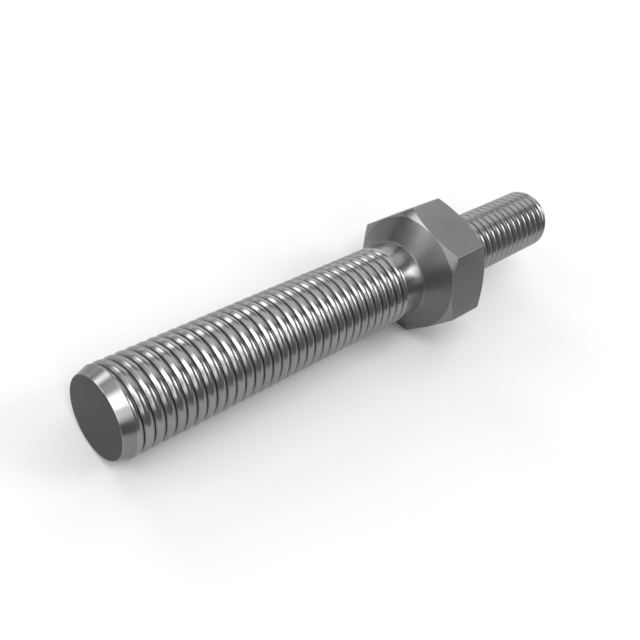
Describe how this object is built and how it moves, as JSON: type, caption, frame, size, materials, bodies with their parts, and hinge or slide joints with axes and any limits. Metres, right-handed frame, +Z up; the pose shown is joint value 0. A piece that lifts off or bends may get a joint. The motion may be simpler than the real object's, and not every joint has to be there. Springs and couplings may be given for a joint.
{
  "type": "stud bolt",
  "caption": "Double-ended stud bolt lying on its side: a long and a shorter threaded end on either side of a chamfered hexagon, with a straight flare between hexagon and long end.",
  "frame": {"origin": "on the surface the bolt lies on, under the middle of its bounding box", "axes": "+X along the bolt towards the short thread, +Z up; the bolt's own axis rises 3.2 degrees towards +X, because it lies on the hexagon and the long thread's tip"},
  "size_m": [0.0884, 0.0208, 0.0184],
  "materials": {
    "steel": "bright turned steel, smooth and uncoated"
  },
  "bodies": {
    "root": {"stud_bolt": "steel"}
  },
  "joints": []
}
